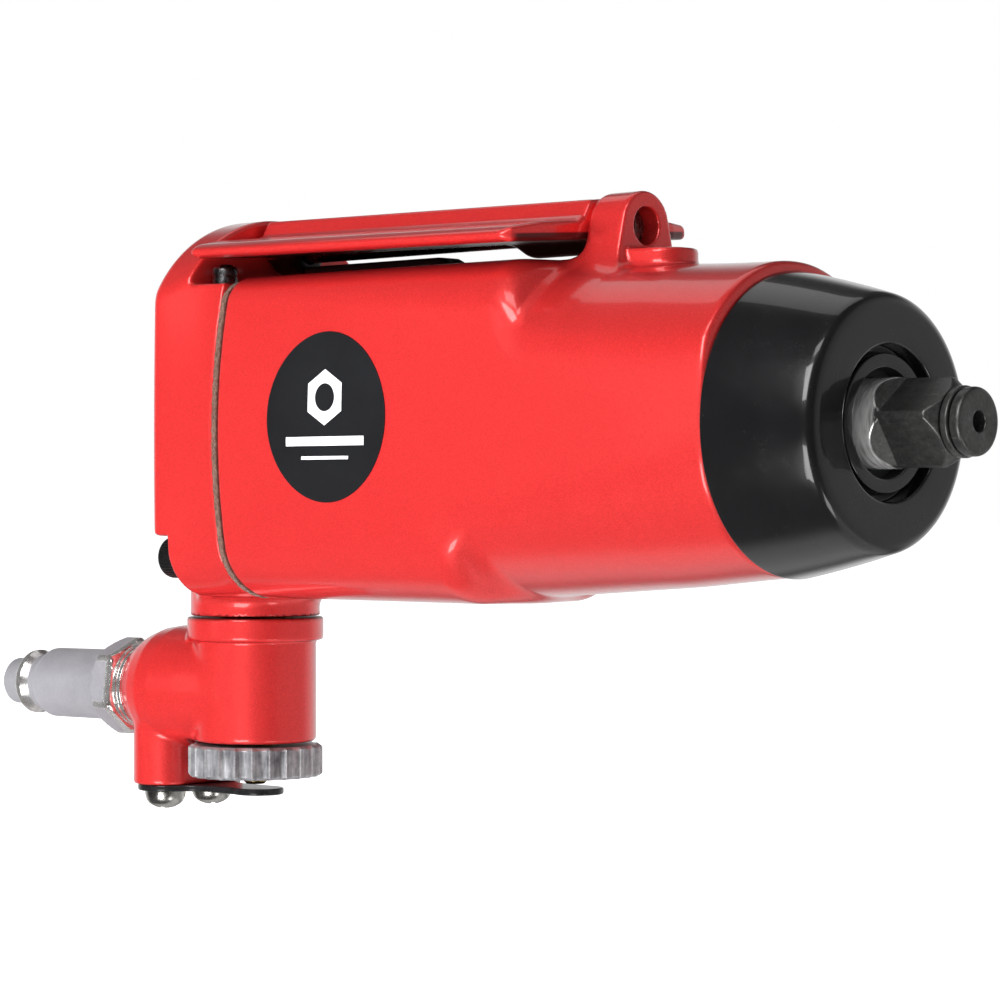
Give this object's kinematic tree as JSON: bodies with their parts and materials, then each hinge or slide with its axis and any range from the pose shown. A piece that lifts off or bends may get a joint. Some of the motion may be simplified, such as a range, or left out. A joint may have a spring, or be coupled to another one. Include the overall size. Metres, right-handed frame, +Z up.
{
  "type": "impact wrench",
  "caption": "Compact pneumatic butterfly impact wrench: tapered painted body, black nose with square drive, rocking throttle paddle on top, swivel air inlet with regulator knob below.",
  "frame": {"origin": "centre of the square drive's end face, on the anvil axis", "axes": "+X forward along the drive axis, +Z up towards the throttle paddle, +Y to the left seen from behind"},
  "size_m": [0.1996, 0.0438, 0.0973],
  "materials": {
    "red_paint": "gloss metallic red paint over a light-alloy casting",
    "black_gloss": "gloss black paint over steel",
    "black_oxide": "black-oxide hardened steel, polished on the shank",
    "ground_steel": "ground steel",
    "bearing_steel": "polished bearing steel",
    "nickel": "bright nickel plate",
    "zinc_screw": "zinc-plated steel",
    "knob_metal": "plain diecast metal, satin",
    "black_plate": "blackened pressed steel",
    "black_screw": "black-oxide cap screws",
    "bronze": "sintered bronze",
    "brass": "turned brass",
    "gunmetal": "dark plated steel",
    "rubber": "nitrile rubber",
    "gasket_fibre": "brown-grey gasket fibre",
    "vane_composite": "phenolic laminate",
    "badge": "matt black printed film, no lettering",
    "spring_steel": "spring steel"
  },
  "bodies": {
    "tool_body": {"motor_housing": "red_paint", "rear_cover": "red_paint", "rear_gasket": "gasket_fibre", "hammer_case": "black_gloss", "anvil_bushing": "black_oxide", "nose_seal_ring": "rubber", "case_oring": "rubber", "cylinder_liner": "ground_steel", "front_end_plate": "ground_steel", "rear_end_plate": "ground_steel", "liner_dowel": "bearing_steel", "front_bearing_outer_race": "bearing_steel", "rear_bearing_outer_race": "bearing_steel", "cover_screws": "black_screw", "throttle_pivot_pin": "gunmetal", "forward_valve_bushing": "brass", "reverse_valve_bushing": "brass", "forward_valve_spring": "spring_steel", "reverse_valve_spring": "spring_steel", "swivel_post": "brass", "swivel_orings": "rubber", "swivel_snap_ring": "spring_steel", "side_badge": "badge"},
    "drive_anvil": {"anvil": "black_oxide", "socket_ring_oring": "rubber", "socket_retaining_ring": "black_oxide"},
    "air_rotor": {"rotor": "ground_steel", "rotor_vanes": "vane_composite", "hammer_cage": "ground_steel", "hammer_pin": "bearing_steel", "front_bearing_inner_race": "bearing_steel", "rear_bearing_inner_race": "bearing_steel", "front_bearing_balls": "bearing_steel", "rear_bearing_balls": "bearing_steel"},
    "rocking_dog": {"hammer_dog": "ground_steel"},
    "throttle": {"throttle_lever": "red_paint"},
    "forward_valve": {"forward_valve_stem": "gunmetal"},
    "reverse_valve": {"reverse_valve_stem": "gunmetal"},
    "swivel": {"swivel_body": "red_paint", "regulator_bushing": "brass", "regulator_plate": "black_plate", "plate_screws": "zinc_screw", "inlet_plug": "nickel", "inlet_screen": "brass"},
    "regulator": {"regulator_spool": "brass", "regulator_knob": "knob_metal"}
  },
  "joints": [
    {"name": "rotor_spin", "type": "hinge", "parent": "tool_body", "child": "air_rotor", "pos_m": [-0.09, 0, 0], "axis": [1, 0, 0], "continuous": true},
    {"name": "anvil_spin", "type": "hinge", "parent": "tool_body", "child": "drive_anvil", "pos_m": [-0.03, 0, 0], "axis": [1, 0, 0], "continuous": true},
    {"name": "dog_rock", "type": "hinge", "parent": "air_rotor", "child": "rocking_dog", "pos_m": [-0.049, 0, 0.0129], "axis": [1, 0, 0], "range_deg": [-3, 3]},
    {"name": "throttle_rock", "type": "hinge", "parent": "tool_body", "child": "throttle", "pos_m": [-0.102, 0, 0.0299], "axis": [1, 0, 0], "range_deg": [-13.8, 6.2], "stiffness_Nm_per_rad": 0.6},
    {"name": "forward_valve_slide", "type": "slide", "parent": "tool_body", "child": "forward_valve", "axis": [0, 0, 1], "range_m": [-0.0021, 0.0009], "deforming": ["forward_valve_spring"]},
    {"name": "reverse_valve_slide", "type": "slide", "parent": "tool_body", "child": "reverse_valve", "axis": [0, 0, 1], "range_m": [-0.0009, 0.0021], "deforming": ["reverse_valve_spring"]},
    {"name": "inlet_swivel", "type": "hinge", "parent": "tool_body", "child": "swivel", "pos_m": [-0.145, 0, -0.04], "axis": [0, 0, 1], "continuous": true},
    {"name": "regulator_turn", "type": "hinge", "parent": "swivel", "child": "regulator", "pos_m": [-0.145, 0, -0.054], "axis": [0, 0, 1], "range_deg": [-135, 135]}
  ],
  "couplings": [
    {"joint": "anvil_spin", "follows": "rotor_spin", "ratio": 1},
    {"joint": "forward_valve_slide", "follows": "throttle_rock", "m_per_rad": 0.008},
    {"joint": "reverse_valve_slide", "follows": "throttle_rock", "m_per_rad": -0.008}
  ]
}
